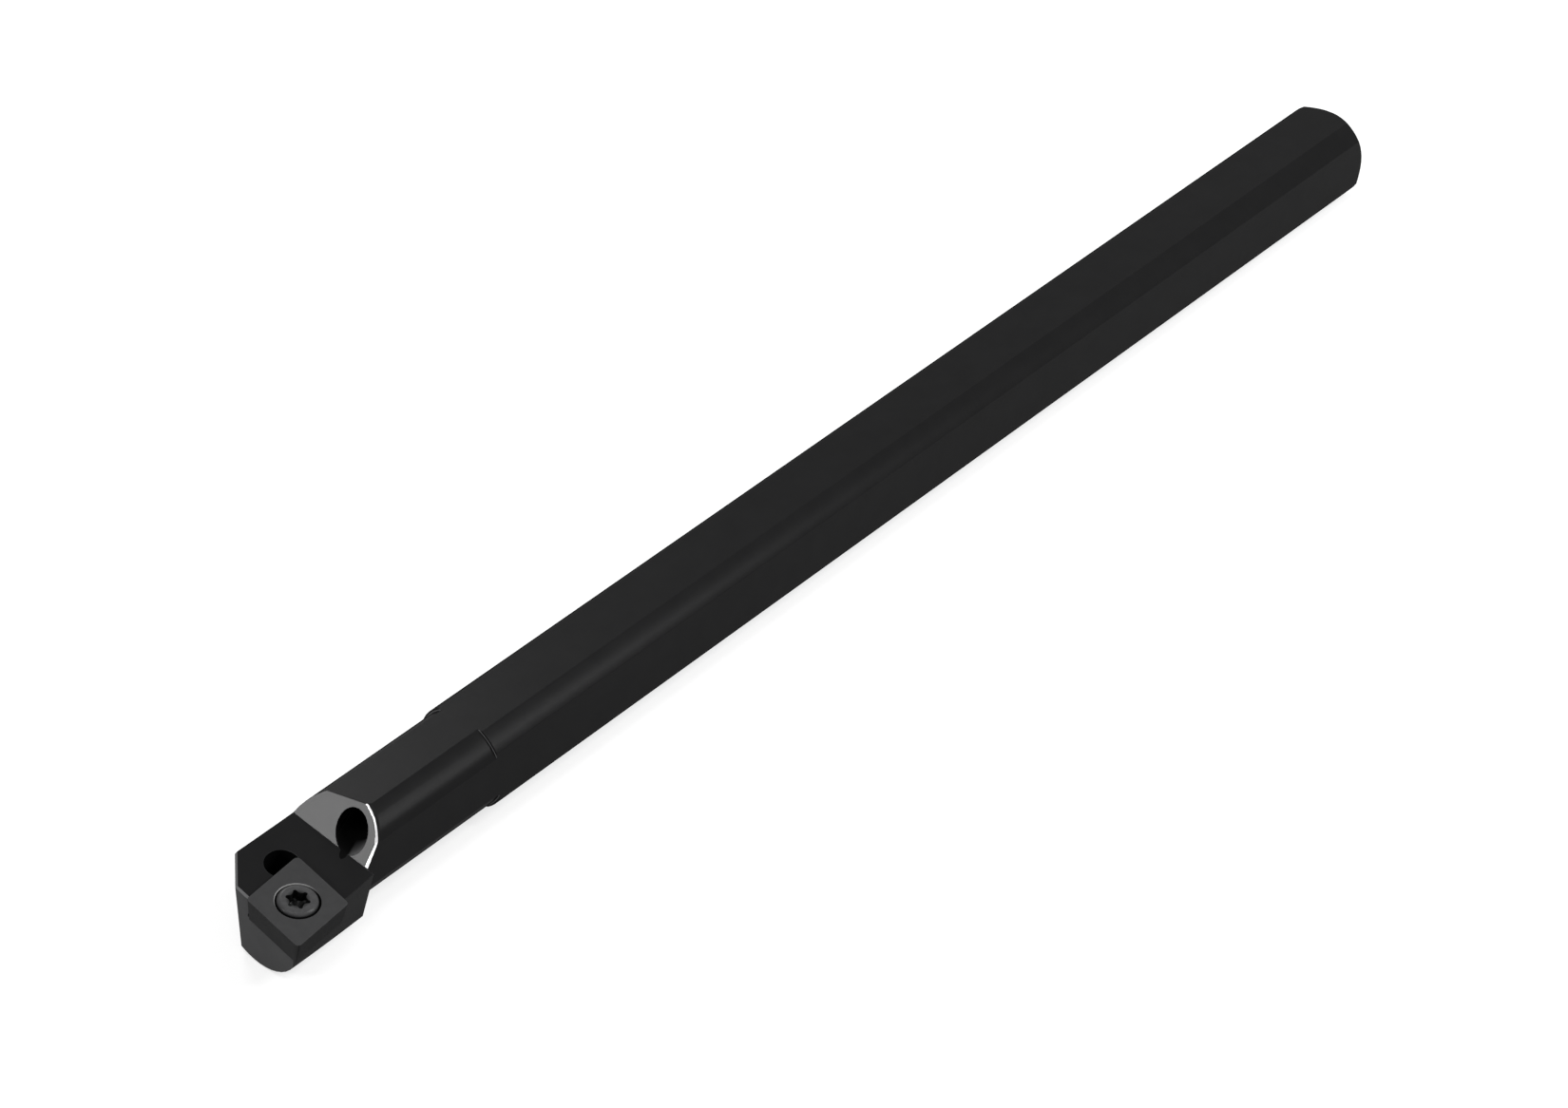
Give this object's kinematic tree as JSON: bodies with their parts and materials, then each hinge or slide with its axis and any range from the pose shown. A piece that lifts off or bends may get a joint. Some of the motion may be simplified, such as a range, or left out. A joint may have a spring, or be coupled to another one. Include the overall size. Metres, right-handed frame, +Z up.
{
  "type": "boring bar",
  "caption": "Round-shank internal boring bar with an offset head, clamped diamond insert and through coolant.",
  "frame": {"origin": "centre of the shank's rear face, at the mouth of the coolant bore, on the bar's axis", "axes": "+X along the bar from the rear face to the head, +Y across to the cutting side, +Z up, square to the top flat; the cutting tip stands at Z = 0"},
  "size_m": [0.1524, 0.0113, 0.0094],
  "materials": {
    "bar_steel": "fine ground, black oxide, satin",
    "insert_carbide": "pressed and ground carbide, dark satin coating",
    "screw_steel": "turned, black oxide"
  },
  "bodies": {
    "root": {"bar_body": "bar_steel", "insert": "insert_carbide", "insert_screw": "screw_steel"}
  },
  "joints": []
}
